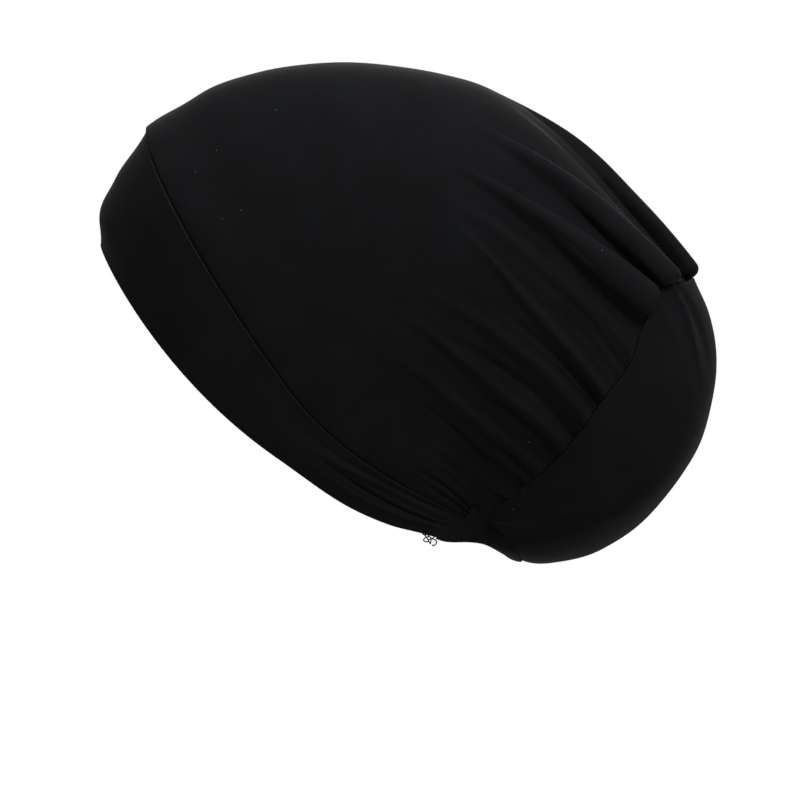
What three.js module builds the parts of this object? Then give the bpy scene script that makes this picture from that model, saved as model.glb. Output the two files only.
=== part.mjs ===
import * as THREE from 'three';

// A stretch jersey head wrap in its worn form, in millimetres.
// The forehead side faces -Y, the wearer's left side is +X and +Z is up.
// The origin is where the top of the head touches the inside of the crown.
// Cross sections sweep from the front rim, over the crown, down the back to the nape.
// Each section is a bow from the left end of the nape over the crest to the right end.

// Thickness of the cloth
const JERSEY = 1.2;
const DOUBLE_JERSEY = 2.0;
const ELASTIC_CASING = 2.0;

// Seams and edges
const SEAM_GAP = 0.3;
const CASING_INSET = 0.6;
const CASING_END_INSET = 1;
const EDGE_ROUND = 0.9;
const EDGE_DIP = 0.45;
const LIP_HEIGHT = 1.2;
const LIP_PEAK = 1.5;

// Cross sections of folds: how flat a tube's top is and how steep its sides are, how round a
// soft wave is, how narrow a fold starts, and how soon along its length a tube takes its form
const TUBE_TOP = 2.6;
const TUBE_SIDES = 0.45;
const WAVE_ROUND = 0.7;
const FOLD_START = 0.45;
const TUBE_GROWTH = 1.6;

// On the steepest sides of a fold the cloth is measured as if it leaned no more than this
const LEAST_TILT = 0.35;

// Steps for measuring the direction of the surface
const SHARE_STEP = 0.004;
const SECTION_STEP = 0.15;

// A panel narrower than this has its edge rows drawn together
const FULL_PANEL = 60;

// The bows: crest and side points, lean of the side from level, and how full the curve is
// above the side point, below it and level from the crest.
const SECTIONS = table(
  ['name', 'crestY', 'crestZ', 'sideX', 'sideY', 'sideZ', 'lean', 'rise', 'drop', 'shoulder'],
  ['rim', -107.5, -79.8, 66, -32.4, -169.8, 37, 0.55, 0.5, 0.5],
  ['band_middle', -103.5, -56.4, 69, -27.4, -160.8, 46, 0.66, 0.46, 0.5],
  ['band_seam', -86.9, -28.9, 71, -21.2, -146.4, 54, 0.8, 0.42, 0.5],
  ['crown_1', -67.5, -14.5, 73, -3.6, -133.3, 64, 0.66, 0.48, 0.52],
  ['crown_2', -33.8, -1.9, 75, 13.5, -120.7, 76, 0.6, 0.5, 0.54],
  ['crown_3', 0, 1.2, 76, 30.2, -113.5, 86, 0.58, 0.5, 0.55],
  ['crown_4', 33.8, -1.5, 77, 46.4, -110.8, 97, 0.56, 0.5, 0.56],
  ['crown_5', 67.5, -10.9, 77, 63, -113.5, 107, 0.56, 0.5, 0.56],
  ['crown_6', 97.2, -31, 76, 79.2, -121.6, 115, 0.6, 0.5, 0.6],
  ['crown_7', 125.2, -60.2, 73, 97.2, -135.1, 120, 0.66, 0.5, 0.66],
  ['back_seam', 156.2, -96.6, 65, 113.4, -152.7, 122, 0.74, 0.5, 0.68],
  ['back_1', 167, -117.1, 64, 126.9, -164.8, 129, 0.62, 0.5, 0.58],
  ['back_2', 168.8, -142.3, 62, 133.7, -175.6, 140, 0.56, 0.5, 0.58],
  ['back_3', 160.7, -171.1, 60, 131.9, -188.2, 154, 0.55, 0.5, 0.57],
  ['back_4', 141.8, -199, 57, 120.6, -199.9, 172, 0.55, 0.5, 0.57],
  ['back_5', 117, -217.9, 51, 102.6, -207.6, 194, 0.55, 0.5, 0.57],
  ['back_6', 95, -223.8, 43, 87.8, -211.6, 217, 0.55, 0.5, 0.58],
  ['back_7', 81.9, -222.4, 36, 76, -213, 236, 0.55, 0.5, 0.6],
  ['nape_seam', 76, -215.7, 26, 69.8, -212.5, 250, 0.55, 0.5, 0.6],
);

// Where the bows end, above the nape casing
const BASES = table(
  ['name', 'x', 'y', 'z'],
  ['rim', 50, 44.6, -211.4],
  ['band_middle', 48.5, 51.1, -206.9],
  ['band_seam', 46, 57.8, -202.3],
  ['crown_4', 45.3, 60.8, -199.4],
  ['back_seam', 42.6, 63.6, -200.7],
  ['nape_seam', 38.5, 65.4, -206.1],
);

// The free lower edge of the nape casing, from its left end to the middle
const NAPE_EDGE = table(
  ['x', 'y', 'z'],
  [50, 44.6, -211.4],
  [41, 57.9, -212.6],
  [34.5, 64.6, -214.1],
  [18, 71.6, -218.2],
  [0, 75.2, -221.1],
);

const RIM = sectionNumber('rim');
const BAND_SEAM = sectionNumber('band_seam');
const CROWN_MIDDLE = sectionNumber('crown_4');
const BACK_SEAM = sectionNumber('back_seam');
const NAPE_SEAM = sectionNumber('nape_seam');

// Folds run along the cap. Across the bow, t is 0 on the crest and 1 at the nape end.
// A fold starts at section fromS and share fromT, bows sideways by bend and ends at toS and toT.
// Its half width is a share of the bow, its height is in millimetres, and hold is what is
// left of that height in the seam. A negative height is a valley. A steep fold is a tube with
// a rounded top, and the others are soft waves.
const FOLD_COLUMNS = [
  'name', 'fromS', 'fromT', 'bend', 'toS', 'toT', 'half', 'height', 'hold', 'steep'];

const CROWN_FOLDS = table(
  FOLD_COLUMNS,
  ['middle_pleat', 7, 0, 0, BACK_SEAM, 0, 0.038, 8, 0.7, 1],
  ['shelf_1', 7.2, 0.09, 0.01, BACK_SEAM, 0.09, 0.07, -4, 0, 0],
  ['upper_pleat', 6.4, 0.22, 0.048, BACK_SEAM, 0.24, 0.036, 7, 0.72, 1],
  ['valley_2', 6.6, 0.27, 0.055, BACK_SEAM, 0.288, 0.022, -2.2, 0.2, 0],
  ['lower_pleat', 6, 0.32, 0.06, BACK_SEAM, 0.336, 0.034, 6.6, 0.72, 1],
  ['valley_3', 6.3, 0.37, 0.062, BACK_SEAM, 0.392, 0.035, -2.2, 0.2, 0],
  ['gather_1', 6.2, 0.43, 0.047, BACK_SEAM, 0.57, 0.026, 2.4, 0.5, 0],
  ['valley_4', 7.4, 0.56, 0.02, BACK_SEAM, 0.595, 0.02, -1.8, 0.4, 0],
  ['gather_2', 5.4, 0.56, 0.022, BACK_SEAM, 0.648, 0.028, 2, 0.5, 0],
  ['gather_3', 4.7, 0.578, 0.05, BACK_SEAM, 0.73, 0.026, 2.2, 0.5, 0],
  ['gather_4', 4.1, 0.646, 0.06, BACK_SEAM, 0.805, 0.03, 2, 0.5, 0],
  ['valley_5', 4.5, 0.73, 0.045, BACK_SEAM, 0.865, 0.024, -1.6, 0.4, 0],
  ['gather_5', 4, 0.83, 0.06, BACK_SEAM, 0.925, 0.03, 1.6, 0.5, 0],
);

const BAND_FOLDS = table(
  FOLD_COLUMNS,
  ['crease', 0.9, 0.62, 0, 1.1, 1, 0.02, -1.1, 1, 0],
);

const BACK_FOLDS = table(
  FOLD_COLUMNS,
  ['fold_under_pleats', BACK_SEAM, 0.15, 0, 12.6, 0.12, 0.03, 1.3, 0, 0],
);

// The pleats draw the back seam towards the front, by a part of a section around each share
const SEAM_PULLS = table(
  ['t', 'half', 'pull'],
  [0.3, 0.18, 0.22],
  [0.5, 0.1, -0.085],
);
const SEAM_PULL_REACH = 3;

// Where a sheet has its lines of points: across the bow, and along it from each seam
const TUBE_STEPS = [-1, -0.8, -0.4, 0, 0.4, 0.8, 1];
const WAVE_STEPS = [-0.9, 0, 0.9];
const PLAIN_COLUMNS = [0.11, 0.41, 0.46, 0.51, 0.975];
const COLUMN_SPACE = 0.0065;
const PLEAT_END = 5;
const FOLLOW_FROM = 4;
const FOLLOW_FULL = 7;

function table(columns, ...rows) {
  return rows.map((row) => Object.fromEntries(columns.map((column, i) => [column, row[i]])));
}

function sectionNumber(name) {
  return SECTIONS.findIndex((section) => section.name === name);
}

function clamp01(value) {
  return Math.min(Math.max(value, 0), 1);
}

function smooth(value) {
  const x = clamp01(value);
  return x * x * (3 - 2 * x);
}

// A smooth value of one column at section number s, by a Catmull-Rom curve
function sectionValue(column, s) {
  const last = SECTIONS.length - 1;
  const i = Math.min(Math.max(Math.floor(s), 0), last - 1);
  const f = s - i;
  const value = (k) => SECTIONS[k][column];
  const p1 = value(i);
  const p2 = value(i + 1);
  const p0 = i > 0 ? value(i - 1) : 2 * p1 - p2;
  const p3 = i + 2 <= last ? value(i + 2) : 2 * p2 - p1;
  const cubic = -p0 + 3 * p1 - 3 * p2 + p3;
  const square = 2 * p0 - 5 * p1 + 4 * p2 - p3;
  return 0.5 * (2 * p1 + (p2 - p0) * f + square * f * f + cubic * f * f * f);
}

function basePoint(s) {
  const stations = BASES.map((base) => sectionNumber(base.name));
  let k = stations.findIndex((station) => station >= s);
  k = Math.max(k, 1);
  const f = (s - stations[k - 1]) / (stations[k] - stations[k - 1]);
  const from = new THREE.Vector3(BASES[k - 1].x, BASES[k - 1].y, BASES[k - 1].z);
  const to = new THREE.Vector3(BASES[k].x, BASES[k].y, BASES[k].z);
  return from.lerp(to, f);
}

// The left half of the bow at section number s, from the crest down to its base
function halfBow(s) {
  const crest = new THREE.Vector3(0, sectionValue('crestY', s), sectionValue('crestZ', s));
  const side = new THREE.Vector3(
    sectionValue('sideX', s), sectionValue('sideY', s), sectionValue('sideZ', s));
  const base = basePoint(s);
  const lean = THREE.MathUtils.degToRad(sectionValue('lean', s));
  const up = new THREE.Vector3(0, -Math.cos(lean), Math.sin(lean));
  const above = Math.hypot(crest.y - side.y, crest.z - side.z) * sectionValue('rise', s);
  const below = Math.hypot(base.y - side.y, base.z - side.z) * sectionValue('drop', s);
  const bow = new THREE.CurvePath();
  bow.add(new THREE.CubicBezierCurve3(
    crest,
    crest.clone().add(new THREE.Vector3(sectionValue('shoulder', s) * side.x, 0, 0)),
    side.clone().addScaledVector(up, above),
    side,
  ));
  bow.add(new THREE.QuadraticBezierCurve3(side, side.clone().addScaledVector(up, -below), base));
  return bow;
}

// How far the cloth at section s and share t is drawn towards the front, in sections
function seamPull(s, t) {
  const near = smooth(1 - Math.abs(s - BACK_SEAM) / SEAM_PULL_REACH);
  const away = (pull) => Math.min(Math.abs(Math.abs(t) - pull.t) / pull.half, 1);
  return near * SEAM_PULLS.reduce((sum, pull) => (
    sum + pull.pull * (0.5 + 0.5 * Math.cos(Math.PI * away(pull)))), 0);
}

const bows = new Map();

// A point of the smooth cap at section number and share t of the bow, right side negative
function capPoint(section, t) {
  const s = section - seamPull(section, t);
  const key = s.toFixed(4);
  if (!bows.has(key)) {
    bows.set(key, halfBow(s));
  }
  const bow = bows.get(key);
  const end = 1 - SEAM_GAP / bow.getLength();
  const point = bow.getPointAt(Math.min(Math.abs(t), 1) * end);
  point.x *= Math.sign(t);
  return point;
}

// The outward direction of the smooth cap, the same for both pieces that meet in a seam
function capNormal(s, t) {
  const across = capPoint(s, Math.min(t + SHARE_STEP, 1));
  across.sub(capPoint(s, Math.max(t - SHARE_STEP, -1)));
  const along = capPoint(Math.min(s + SECTION_STEP, NAPE_SEAM), t);
  along.sub(capPoint(Math.max(s - SECTION_STEP, RIM), t));
  return across.cross(along).normalize();
}

function foldShare(fold, s) {
  const q = clamp01((s - fold.fromS) / (fold.toS - fold.fromS));
  return fold.fromT + (fold.toT - fold.fromT) * q + fold.bend * 4 * q * (1 - q);
}

// Height of the folds at a point, where edge is 0 in the back seam and 1 away from it
function foldHeight(folds, s, t, edge) {
  let height = 0;
  for (const fold of folds) {
    const q = (s - fold.fromS) / (fold.toS - fold.fromS);
    const width = fold.half * (FOLD_START + (1 - FOLD_START) * clamp01(q));
    const across = (Math.abs(t) - foldShare(fold, s)) / width;
    if (q <= 0 || Math.abs(across) >= 1) {
      continue;
    }
    const wave = (0.5 + 0.5 * Math.cos(Math.PI * across)) ** WAVE_ROUND;
    const tube = (1 - Math.abs(across) ** TUBE_TOP) ** TUBE_SIDES;
    const bump = wave + (tube - wave) * fold.steep * smooth(TUBE_GROWTH * q);
    const grown = Math.sin(0.5 * Math.PI * clamp01(q));
    height += fold.height * bump * grown * (fold.hold + (1 - fold.hold) * edge);
  }
  return height;
}

// Shares of the bow at the back seam where lines of points run, dense on the folds
function backColumns() {
  const shares = [...PLAIN_COLUMNS, 1];
  for (const fold of CROWN_FOLDS) {
    if (fold.height > 0) {
      const steps = fold.steep ? TUBE_STEPS : WAVE_STEPS;
      shares.push(...steps.map((step) => fold.toT + step * fold.half));
    } else {
      shares.push(fold.toT);
    }
  }
  const half = [0];
  for (const share of shares.filter((value) => value > 0 && value <= 1).sort((a, b) => a - b)) {
    if (share - half[half.length - 1] > COLUMN_SPACE) {
      half.push(share);
    }
  }
  half[half.length - 1] = 1;
  return half;
}

const BACK_COLUMNS = backColumns();

// The share of line k at section s: even at the front, along the folds towards the back seam
function columnShare(k, s) {
  const side = Math.sign(k);
  const line = Math.abs(k);
  const even = line / (BACK_COLUMNS.length - 1);
  const atSeam = BACK_COLUMNS[line];
  const ridges = CROWN_FOLDS.filter((fold) => fold.height > 0);
  const seamShares = [...ridges.map((fold) => fold.toT), 1];
  const shares = [...ridges.map((fold) => foldShare(fold, s)), 1];
  const next = Math.max(seamShares.findIndex((share) => share >= atSeam), 1);
  const f = (atSeam - seamShares[next - 1]) / (seamShares[next] - seamShares[next - 1]);
  const along = shares[next - 1] + (shares[next] - shares[next - 1]) * f;
  const follow = smooth((s - FOLLOW_FROM) / (FOLLOW_FULL - FOLLOW_FROM));
  return side * (even + (along - even) * follow);
}

// Points of the smooth cap between two seams: rows at set distances from each seam, the rest even
function panelRows({ fromS, toS, frontRows, middleRows, backRows }, k) {
  const stations = [];
  const STEPS = 40;
  for (let i = 0; i <= STEPS; i++) {
    const s = fromS + (toS - fromS) * i / STEPS;
    stations.push({ s, point: capPoint(s, columnShare(k, s)) });
  }
  stations[0].length = 0;
  for (let i = 1; i <= STEPS; i++) {
    const step = stations[i].point.distanceTo(stations[i - 1].point);
    stations[i].length = stations[i - 1].length + step;
  }
  const whole = stations[STEPS].length;
  const fullness = Math.min(1, whole / FULL_PANEL);
  const gap = SEAM_GAP / 2;
  const front = frontRows.map((distance) => gap + distance * fullness);
  const back = backRows.map((distance) => whole - gap - distance * fullness);
  const places = [...front];
  const start = front[front.length - 1];
  for (let i = 1; i <= middleRows; i++) {
    places.push(start + (back[0] - start) * i / (middleRows + 1));
  }
  places.push(...back);
  return places.map((place) => {
    const i = Math.max(stations.findIndex((station) => station.length >= place), 1);
    const before = stations[i - 1];
    const after = stations[i];
    const s = before.s + (after.s - before.s) * (place - before.length) / (after.length - before.length);
    return { s, t: columnShare(k, s), fromFront: place - gap, toBack: whole - gap - place, fullness };
  });
}

function gridNormal(grid, i, j) {
  const rows = grid.length;
  const columns = grid[0].length;
  const along = grid[Math.min(i + 1, rows - 1)][j].clone().sub(grid[Math.max(i - 1, 0)][j]);
  const across = grid[i][Math.min(j + 1, columns - 1)].clone().sub(grid[i][Math.max(j - 1, 0)]);
  return across.cross(along).normalize();
}

function mapGrid(grid, change) {
  return grid.map((row, i) => row.map((item, j) => change(item, i, j)));
}

// How far the outside dips where an edge is turned in
function edgeDip(distance) {
  const x = 1 - clamp01(distance / EDGE_ROUND);
  return EDGE_DIP * x * x;
}

// A closed sheet between an outer and an inner grid of points
function closedSheet(outer, inner) {
  const rows = outer.length;
  const columns = outer[0].length;
  const positions = [...outer.flat(), ...inner.flat()].flatMap((p) => [p.x, p.y, p.z]);
  const faces = [];
  const top = (i, j) => i * columns + j;
  const under = (i, j) => rows * columns + i * columns + j;
  const quad = (a, b, c, d) => faces.push(a, b, c, a, c, d);
  for (let i = 0; i + 1 < rows; i++) {
    for (let j = 0; j + 1 < columns; j++) {
      quad(top(i, j), top(i, j + 1), top(i + 1, j + 1), top(i + 1, j));
      quad(under(i, j), under(i + 1, j), under(i + 1, j + 1), under(i, j + 1));
    }
  }
  const last = rows - 1;
  const end = columns - 1;
  for (let j = 0; j < end; j++) {
    quad(top(0, j + 1), top(0, j), under(0, j), under(0, j + 1));
    quad(top(last, j), top(last, j + 1), under(last, j + 1), under(last, j));
  }
  for (let i = 0; i < last; i++) {
    quad(top(i, 0), top(i + 1, 0), under(i + 1, 0), under(i, 0));
    quad(top(i + 1, end), top(i, end), under(i, end), under(i + 1, end));
  }
  const geometry = new THREE.BufferGeometry();
  geometry.setAttribute('position', new THREE.Float32BufferAttribute(positions, 3));
  geometry.setIndex(faces);
  geometry.computeVertexNormals();
  return geometry;
}

// Cloth of one thickness over a grid: outer points stand up by height, and the inner points
// follow them, apart from where hollow is less than 1 and the sheet fills towards the seam
function sheet(grid, normals, wall, height, hollow, innerDip) {
  const outer = mapGrid(grid, (point, i, j) => (
    point.clone().addScaledVector(normals[i][j], height(i, j))));
  const inner = mapGrid(grid, (point, i, j) => {
    const tilt = Math.max(normals[i][j].dot(gridNormal(outer, i, j)), LEAST_TILT);
    const full = Math.min(height(i, j), 0) + Math.max(height(i, j), 0) * hollow(i, j);
    return point.clone().addScaledVector(normals[i][j], full - wall / tilt + innerDip(i, j));
  });
  return closedSheet(outer, inner);
}

function panel(rows, { wall, folds, lip, hollowEnd, roundFront }) {
  const lines = [];
  for (let k = 1 - BACK_COLUMNS.length; k < BACK_COLUMNS.length; k++) {
    lines.push(panelRows(rows, k));
  }
  const places = lines[0].map((_, i) => lines.map((line) => line[i]));
  const grid = mapGrid(places, (place) => capPoint(place.s, place.t));
  const normals = mapGrid(places, (place) => capNormal(place.s, place.t));
  const height = (i, j) => {
    const place = places[i][j];
    const edge = smooth(place.toBack / PLEAT_END);
    const rise = place.fromFront / LIP_PEAK;
    const ridge = lip * rise * Math.exp(1 - rise) * place.fullness;
    const dips = edgeDip(place.fromFront) + edgeDip(place.toBack);
    return foldHeight(folds, place.s, place.t, edge) + ridge - dips * place.fullness;
  };
  const hollow = (i, j) => (hollowEnd ? smooth(places[i][j].toBack / PLEAT_END) : 1);
  const innerDip = (i, j) => (roundFront ? 2 * edgeDip(places[i][j].fromFront) : 0);
  return sheet(grid, normals, wall, height, hollow, innerDip);
}

// The front band: jersey doubled along its front edge, sewn to the crown at its rear edge
function frontBand() {
  return panel(
    { fromS: RIM, toS: BAND_SEAM, frontRows: [0, 1.4], middleRows: 2, backRows: [2, 0] },
    { wall: DOUBLE_JERSEY, folds: BAND_FOLDS, lip: 0, hollowEnd: false, roundFront: true },
  );
}

// The crown: one layer of jersey, pleated and gathered into the back seam
function crownPanel() {
  return panel(
    { fromS: BAND_SEAM, toS: BACK_SEAM, frontRows: [0, 1.4, 4, 9], middleRows: 8, backRows: [11, 5, 2, 0] },
    { wall: JERSEY, folds: CROWN_FOLDS, lip: LIP_HEIGHT, hollowEnd: true, roundFront: false },
  );
}

// The back panel: a rounded bag of one layer that holds the hair
function backPanel() {
  return panel(
    { fromS: BACK_SEAM, toS: NAPE_SEAM, frontRows: [0, 2], middleRows: 5, backRows: [3, 0] },
    { wall: JERSEY, folds: BACK_FOLDS, lip: 0, hollowEnd: false, roundFront: false },
  );
}

// The nape casing: the elastic stretch that closes the band under the back panel
function napeCasing() {
  const upperPlaces = [
    [BAND_SEAM, 1], [CROWN_MIDDLE, 1], [BACK_SEAM, 1], [NAPE_SEAM, 1],
    [NAPE_SEAM, 0.8], [NAPE_SEAM, 0.6], [NAPE_SEAM, 0.4], [NAPE_SEAM, 0.2], [NAPE_SEAM, 0],
  ];
  const lowerShares = [0, 0.1, 0.2, 0.32, 0.45, 0.59, 0.73, 0.87, 1];
  const edge = new THREE.CatmullRomCurve3(NAPE_EDGE.map((p) => new THREE.Vector3(p.x, p.y, p.z)));
  const drop = new THREE.Vector3(0, 0, -CASING_INSET);
  const upper = upperPlaces.map(([s, t]) => (
    (t === 1 ? basePoint(s) : halfBow(s).getPointAt(t)).add(drop)));
  const lower = lowerShares.map((share) => edge.getPointAt(share));
  const middle = upper.map((point, k) => point.clone().add(lower[k]).multiplyScalar(0.5));
  middle[0].copy(basePoint(1));
  const outward = lowerShares.map((share) => {
    const tangent = edge.getTangentAt(share);
    return new THREE.Vector3(tangent.y, -tangent.x, 0).normalize();
  });
  outward[0] = capNormal(1, 1);
  const strip = (row) => mirrored(row, (point) => new THREE.Vector3(-point.x, point.y, point.z));
  const grid = [upper, middle, lower].map(strip);
  for (const row of grid) {
    const share = CASING_END_INSET / row[0].distanceTo(row[1]);
    row[0].lerp(row[1], share);
    row[row.length - 1].lerp(row[row.length - 2], share);
  }
  const normals = grid.map(() => strip(outward));
  return sheet(grid, normals, ELASTIC_CASING, () => 0, () => 1, () => 0);
}

// A row from the right end to the left end, from its left half that runs to the middle
function mirrored(half, mirror) {
  return [...half.slice(0, -1).map(mirror), ...half.map((item) => item.clone()).reverse()];
}

const blackJersey = { color: 0x131415, roughness: 0.92, metalness: 0 };

function piece(name, geometry) {
  const mesh = new THREE.Mesh(geometry, new THREE.MeshStandardMaterial(blackJersey));
  mesh.name = name;
  return mesh;
}

const headWrap = new THREE.Group();
headWrap.add(piece('front_band', frontBand()));
headWrap.add(piece('crown_panel', crownPanel()));
headWrap.add(piece('back_panel', backPanel()));
headWrap.add(piece('nape_casing', napeCasing()));

export default headWrap;
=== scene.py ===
import math

import bpy
import numpy as np
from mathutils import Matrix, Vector


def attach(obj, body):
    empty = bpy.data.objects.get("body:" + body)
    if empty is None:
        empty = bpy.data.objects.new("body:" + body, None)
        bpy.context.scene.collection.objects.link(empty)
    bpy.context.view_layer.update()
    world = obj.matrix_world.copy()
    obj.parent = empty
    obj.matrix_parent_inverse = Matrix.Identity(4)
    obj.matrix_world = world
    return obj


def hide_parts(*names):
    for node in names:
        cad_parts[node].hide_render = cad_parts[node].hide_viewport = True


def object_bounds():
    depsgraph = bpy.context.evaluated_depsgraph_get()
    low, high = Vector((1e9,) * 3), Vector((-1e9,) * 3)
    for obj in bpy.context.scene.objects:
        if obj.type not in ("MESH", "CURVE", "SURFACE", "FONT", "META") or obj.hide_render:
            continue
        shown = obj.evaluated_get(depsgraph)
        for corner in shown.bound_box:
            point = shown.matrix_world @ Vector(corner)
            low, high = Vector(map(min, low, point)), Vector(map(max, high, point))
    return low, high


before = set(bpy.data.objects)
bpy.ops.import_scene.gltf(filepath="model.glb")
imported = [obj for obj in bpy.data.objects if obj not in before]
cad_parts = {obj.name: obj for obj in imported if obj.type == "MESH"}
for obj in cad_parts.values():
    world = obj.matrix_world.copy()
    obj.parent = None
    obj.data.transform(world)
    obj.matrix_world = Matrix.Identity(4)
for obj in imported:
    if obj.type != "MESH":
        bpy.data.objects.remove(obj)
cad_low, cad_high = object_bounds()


# The view: a long lens two metres off, square to the wrap's left side, in front of plain white. A
# pale floor lies well below. Broad soft lamps stand overhead, high at the camera's right and
# behind, so that each fold has a lighter upper side.
PHOTO_SPAN = 0.36
CAMERA_DISTANCE = 2.0
PHOTO_CENTRE = Vector((0, 0.027, -0.1504))
SENSOR = 36.0
LAMP_COLUMNS = ("place", "aim", "size", "power")
LAMPS = {
    "overhead_lamp": ((0.0, 0.05, 1.6), (0, 0.03, -0.05), 0.7, 30),
    "key_lamp": ((0.9, 0.75, 1.2), (0, 0.03, -0.15), 0.5, 30),
    "backdrop_lamp": ((-1.4, 0.05, 0.75), (0, 0.03, -0.05), 0.9, 20),
}
FLOOR_DROP = 0.5
FLOOR_REACH = 1.2
FLOOR_PAINT = "#B8B8B6"


def linear(hex_colour):
    """A colour in sRGB hex as the linear values that shaders take."""
    values = [int(hex_colour[i:i + 2], 16) / 255 for i in (1, 3, 5)]
    return [v / 12.92 if v <= 0.04045 else ((v + 0.055) / 1.055) ** 2.4 for v in values]


camera = bpy.data.objects.new("camera", bpy.data.cameras.new("camera"))
bpy.context.scene.collection.objects.link(camera)
camera.data.sensor_width = SENSOR
camera.data.lens = SENSOR * CAMERA_DISTANCE / PHOTO_SPAN
camera.location = PHOTO_CENTRE + Vector((CAMERA_DISTANCE, 0, 0))
camera.rotation_euler = (math.radians(90), 0, math.radians(90))
bpy.context.scene.camera = camera
bpy.context.scene.view_settings.view_transform = "Standard"

world = bpy.data.worlds.new("white_studio")
world.use_nodes = True
world.node_tree.nodes["Background"].inputs["Color"].default_value = (1, 1, 1, 1)
world.node_tree.nodes["Background"].inputs["Strength"].default_value = 1.0
bpy.context.scene.world = world

for lamp_name, lamp_row in LAMPS.items():
    wanted = dict(zip(LAMP_COLUMNS, lamp_row))
    lamp = bpy.data.lights.new(lamp_name, "AREA")
    lamp.shape = "SQUARE"
    lamp.size = wanted["size"]
    lamp.energy = wanted["power"]
    holder = bpy.data.objects.new(lamp_name, lamp)
    bpy.context.scene.collection.objects.link(holder)
    holder.location = wanted["place"]
    holder.rotation_mode = "QUATERNION"
    looking = Vector(wanted["aim"]) - Vector(wanted["place"])
    holder.rotation_quaternion = looking.to_track_quat("-Z", "Y")

floor_mesh = bpy.data.meshes.new("floor")
floor_corners = [(x * FLOOR_REACH, y * FLOOR_REACH, cad_low.z - FLOOR_DROP)
                 for x, y in ((-1, -1), (1, -1), (1, 1), (-1, 1))]
floor_mesh.from_pydata(floor_corners, [], [(0, 1, 2, 3)])
floor = bpy.data.objects.new("floor", floor_mesh)
bpy.context.scene.collection.objects.link(floor)
pale_floor = bpy.data.materials.new("pale_floor_paint")
pale_floor.use_nodes = True
floor_skin = pale_floor.node_tree.nodes["Principled BSDF"]
floor_skin.inputs["Base Color"].default_value = (*linear(FLOOR_PAINT), 1)
floor_skin.inputs["Roughness"].default_value = 0.9
floor.data.materials.append(pale_floor)


# Crown panel: one layer of black stretch jersey from the band seam in front over the top to the
# back seam, where it is taken in by five tubular pleats on top and by gathers down each side.
# It is sewn to the doubled band in front, where its edge rolls up into a soft lip.
MM = 0.001
FORM_COLUMNS = (
    "crest_y", "crest_z", "side_x", "side_y", "side_z", "lean", "rise", "drop", "shoulder")
FORM_SECTIONS = {
    "rim": (-107.5, -79.8, 66, -32.4, -169.8, 37, 0.55, 0.5, 0.5),
    "band_middle": (-103.5, -56.4, 69, -27.4, -160.8, 46, 0.66, 0.46, 0.5),
    "band_seam": (-86.9, -28.9, 71, -21.2, -146.4, 54, 0.8, 0.42, 0.5),
    "crown_1": (-67.5, -14.5, 73, -3.6, -133.3, 64, 0.66, 0.48, 0.52),
    "crown_2": (-33.8, -1.9, 75, 13.5, -120.7, 76, 0.6, 0.5, 0.54),
    "crown_3": (0, 1.2, 76, 30.2, -113.5, 86, 0.58, 0.5, 0.55),
    "crown_4": (33.8, -1.5, 77, 46.4, -110.8, 97, 0.56, 0.5, 0.56),
    "crown_5": (67.5, -10.9, 77, 63, -113.5, 107, 0.56, 0.5, 0.56),
    "crown_6": (97.2, -31, 76, 79.2, -121.6, 115, 0.6, 0.5, 0.6),
    "crown_7": (125.2, -60.2, 73, 97.2, -135.1, 120, 0.66, 0.5, 0.66),
    "back_seam": (156.2, -96.6, 65, 113.4, -152.7, 122, 0.74, 0.5, 0.68),
    "back_1": (167, -117.1, 64, 126.9, -164.8, 129, 0.62, 0.5, 0.58),
    "back_2": (168.8, -142.3, 62, 133.7, -175.6, 140, 0.56, 0.5, 0.58),
    "back_3": (160.7, -171.1, 60, 131.9, -188.2, 154, 0.55, 0.5, 0.57),
    "back_4": (141.8, -199, 57, 120.6, -199.9, 172, 0.55, 0.5, 0.57),
    "back_5": (117, -217.9, 51, 102.6, -207.6, 194, 0.55, 0.5, 0.57),
    "back_6": (95, -223.8, 43, 87.8, -211.6, 217, 0.55, 0.5, 0.58),
    "back_7": (81.9, -222.4, 36, 76, -213, 236, 0.55, 0.5, 0.6),
    "nape_seam": (76, -215.7, 26, 69.8, -212.5, 250, 0.55, 0.5, 0.6),
}
BASE_POINTS = {
    "rim": (50, 44.6, -211.4),
    "band_middle": (48.5, 51.1, -206.9),
    "band_seam": (46, 57.8, -202.3),
    "crown_4": (45.3, 60.8, -199.4),
    "back_seam": (42.6, 63.6, -200.7),
    "nape_seam": (38.5, 65.4, -206.1),
}
SECTION_NAMES = list(FORM_SECTIONS)
RIM = SECTION_NAMES.index("rim")
BAND_SEAM = SECTION_NAMES.index("band_seam")
BACK_SEAM = SECTION_NAMES.index("back_seam")
NAPE_SEAM = SECTION_NAMES.index("nape_seam")
SECTION_STEP = 0.02
ARC_POINTS = 200
BOW_POINTS = 601
SEAM_PULL_COLUMNS = ("at", "half", "pull")
SEAM_PULLS = ((0.3, 0.18, 0.22), (0.5, 0.1, -0.085))
SEAM_PULL_REACH = 3


def rounded_line(p0, p1, p2, p3, f):
    """A Catmull-Rom curve from p1 to p2, at the shares f."""
    square = 2 * p0 - 5 * p1 + 4 * p2 - p3
    cubic = -p0 + 3 * p1 - 3 * p2 + p3
    return 0.5 * (2 * p1 + (p2 - p0) * f + square * f ** 2 + cubic * f ** 3)


def section_values(s):
    """One row of the form's table at section number s, which may lie between two rows."""
    rows = np.array(list(FORM_SECTIONS.values()))
    last = len(rows) - 1
    i = min(int(s), last - 1)
    p1, p2 = rows[i], rows[i + 1]
    p0 = rows[i - 1] if i > 0 else 2 * p1 - p2
    p3 = rows[i + 2] if i + 2 <= last else 2 * p2 - p1
    return dict(zip(FORM_COLUMNS, rounded_line(p0, p1, p2, p3, s - i)))


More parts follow.
